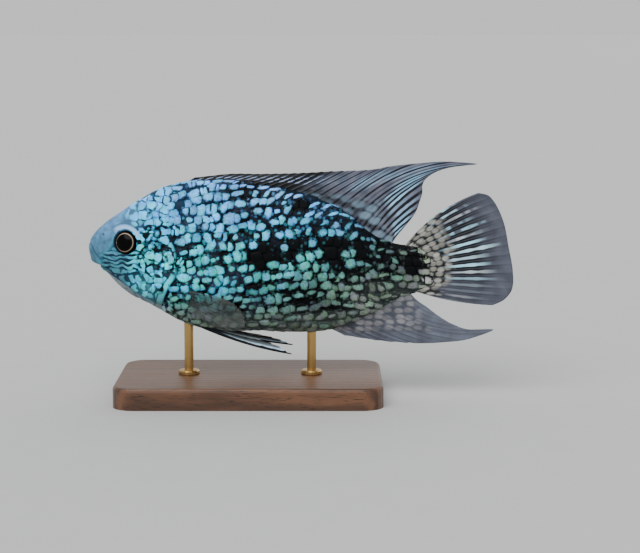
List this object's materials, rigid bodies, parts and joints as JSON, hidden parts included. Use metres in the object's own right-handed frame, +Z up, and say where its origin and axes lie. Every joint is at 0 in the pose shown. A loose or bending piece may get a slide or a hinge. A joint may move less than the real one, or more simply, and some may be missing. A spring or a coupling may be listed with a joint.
{
  "type": "texas cichlid on a display stand",
  "caption": "Life-size still model of a texas cichlid swimming level, with raised fin rays, held over a flat base by short rods.",
  "frame": {"origin": "middle of the underside of the stand's base, on the surface it stands on", "axes": "+X from the fish's head to its tail, the fish looks along -X; its left side faces -Y; +Z up"},
  "size_m": [0.2403, 0.09, 0.1334],
  "materials": {
    "skin": "dark navy skin with a pearly turquoise spot on each scale, wet satin gloss",
    "fin": "thin slate grey membrane with dark rays",
    "eye": "black, wet gloss, narrow gold ring",
    "wood": "dark stained oak, satin lacquer",
    "brass": "satin turned brass"
  },
  "bodies": {
    "root": {"head": "skin", "lower_jaw": "skin", "gill_cover_left": "skin", "gill_cover_right": "skin", "trunk": "skin", "tail_stalk": "skin", "eye_left": "eye", "eye_right": "eye", "dorsal_fin": "fin", "anal_fin": "fin", "caudal_fin": "fin", "pectoral_fin_left": "fin", "pectoral_fin_right": "fin", "pelvic_fin_left": "fin", "pelvic_fin_right": "fin", "stand_base": "wood", "stand_rod_front": "brass", "stand_rod_rear": "brass"}
  },
  "joints": []
}
